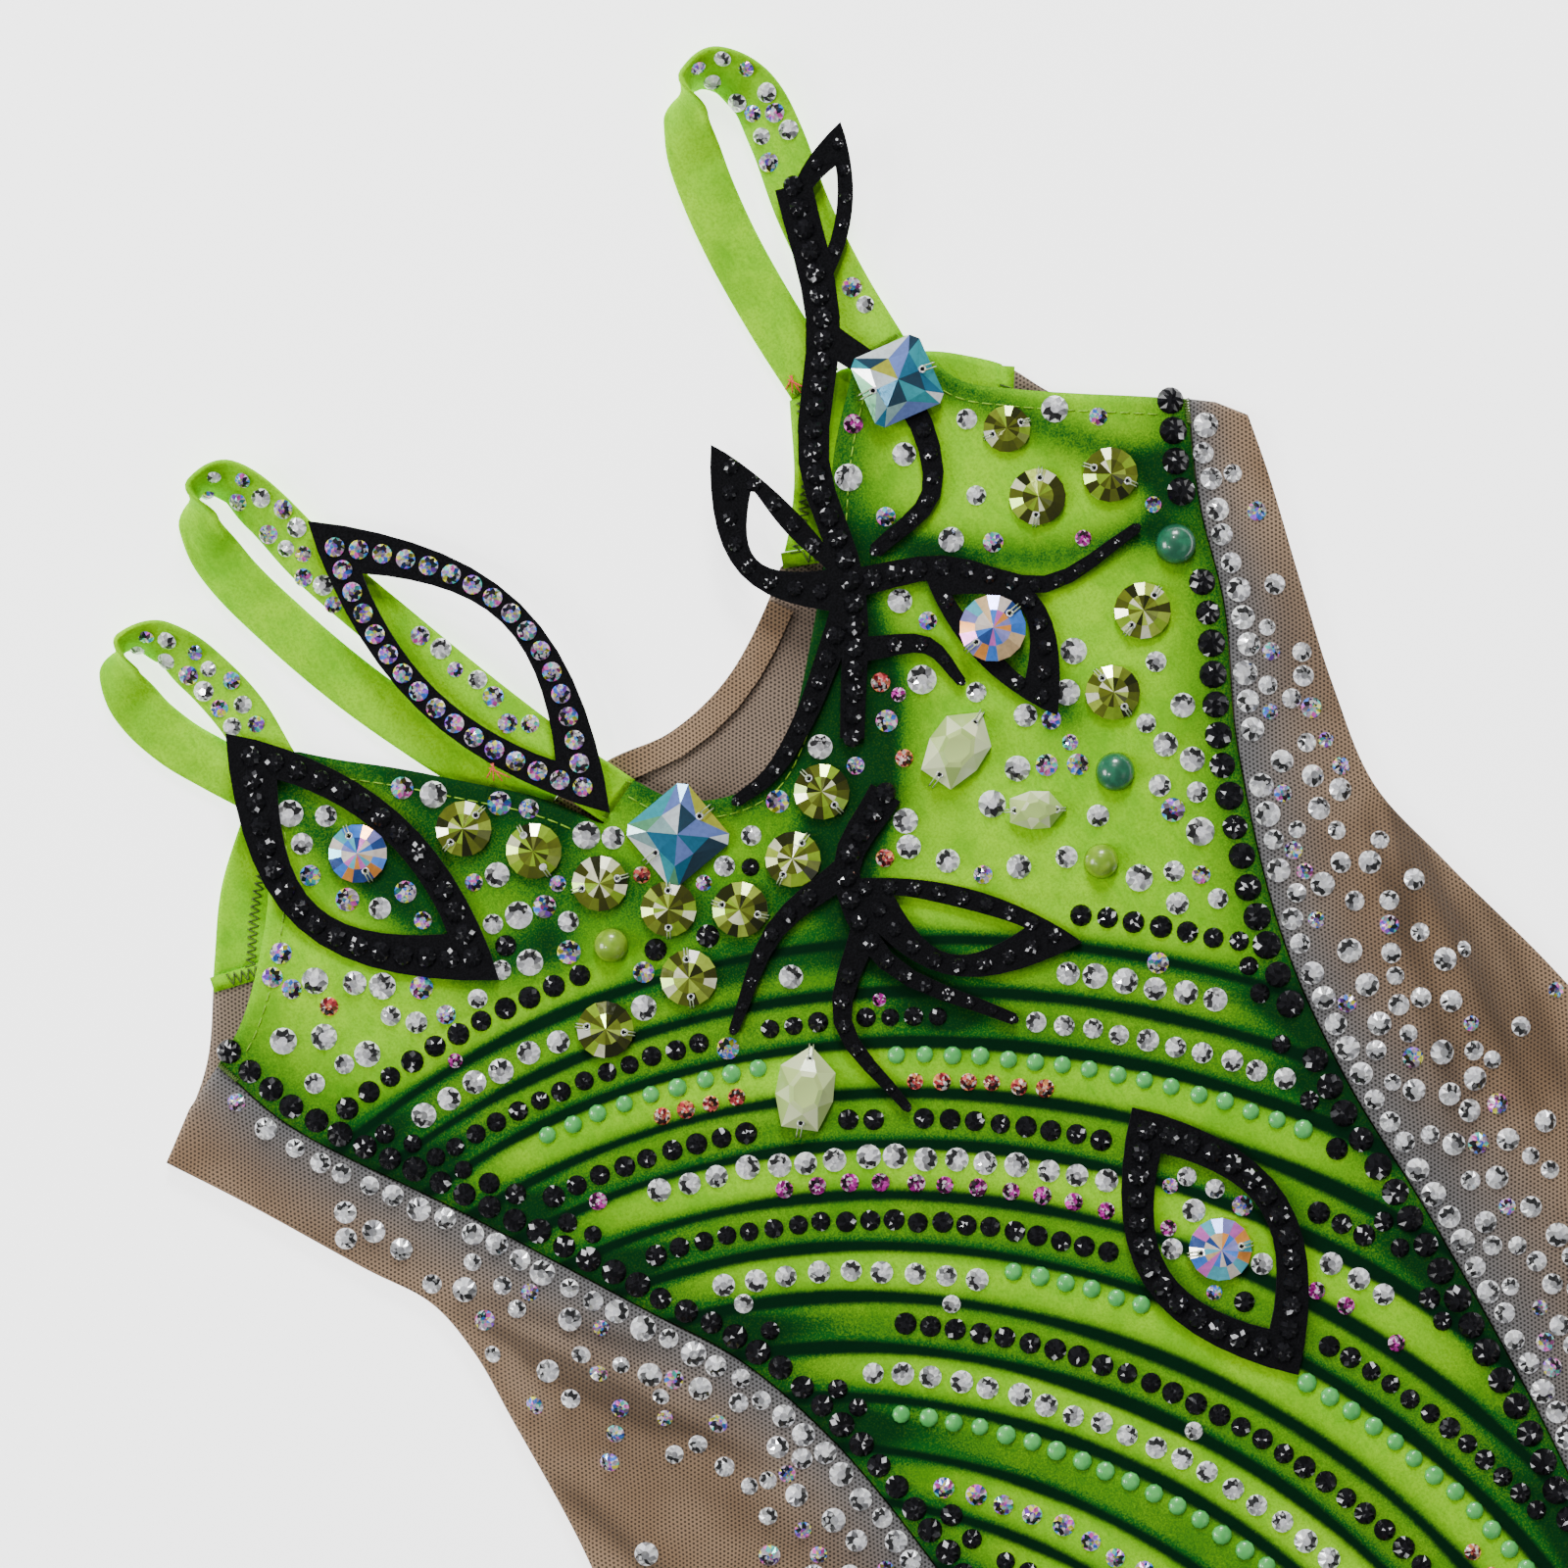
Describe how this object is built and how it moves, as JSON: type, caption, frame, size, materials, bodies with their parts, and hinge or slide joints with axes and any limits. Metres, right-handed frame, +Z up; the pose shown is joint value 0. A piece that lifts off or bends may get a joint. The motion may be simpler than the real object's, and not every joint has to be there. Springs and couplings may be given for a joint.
{
  "type": "leotard",
  "caption": "Child's sleeveless gymnastics leotard in lime velvet and nude mesh, laid flat, with black applique and sewn-on crystals.",
  "frame": {"origin": "on the floor under the middle of the garment's footprint", "axes": "+X to the viewer's right across the front, +Y from the crotch to the shoulders, +Z up through the cloth from the back to the front"},
  "size_m": [0.2722, 0.512, 0.0114],
  "materials": {
    "velvet_lime": "matt",
    "power_mesh": "matt",
    "applique_black": "matt",
    "stone_aurora": "gloss",
    "stone_peridot": "gloss",
    "stone_milky": "gloss",
    "stone_dark_green": "gloss",
    "stone_pearl": "satin"
  },
  "bodies": {
    "root": {"back_mesh": "power_mesh", "back_corner_left": "velvet_lime", "back_corner_right": "velvet_lime", "back_brief": "velvet_lime", "back_neck_binding": "power_mesh", "front_velvet": "velvet_lime", "front_mesh_left": "power_mesh", "front_mesh_right": "power_mesh", "strap_a": "velvet_lime", "strap_b": "velvet_lime", "strap_c": "velvet_lime", "applique_strap_frame": "applique_black", "applique_shoulder_frame": "applique_black", "applique_waist_frame": "applique_black", "applique_neck_scroll": "applique_black", "applique_chest_scroll": "applique_black", "stone_square_neck": "stone_aurora", "stone_square_shoulder": "stone_aurora", "stone_chest_large": "stone_aurora", "stone_frame_round": "stone_aurora", "stone_waist_round": "stone_aurora", "stone_chest_1": "stone_peridot", "stone_chest_2": "stone_peridot", "stone_chest_3": "stone_peridot", "stone_chest_4": "stone_peridot", "stone_chest_5": "stone_peridot", "stone_lower_1": "stone_peridot", "stone_lower_2": "stone_peridot", "stone_neck_1": "stone_peridot", "stone_neck_2": "stone_peridot", "stone_neck_3": "stone_peridot", "stone_neck_4": "stone_peridot", "stone_neck_5": "stone_peridot", "stone_neck_6": "stone_peridot", "stone_neck_7": "stone_peridot", "stone_milky_1": "stone_milky", "stone_milky_2": "stone_milky", "stone_milky_3": "stone_milky", "stone_dome_1": "stone_dark_green", "stone_dome_2": "stone_dark_green", "stone_pearl_1": "stone_pearl", "stone_pearl_2": "stone_pearl"}
  },
  "joints": []
}
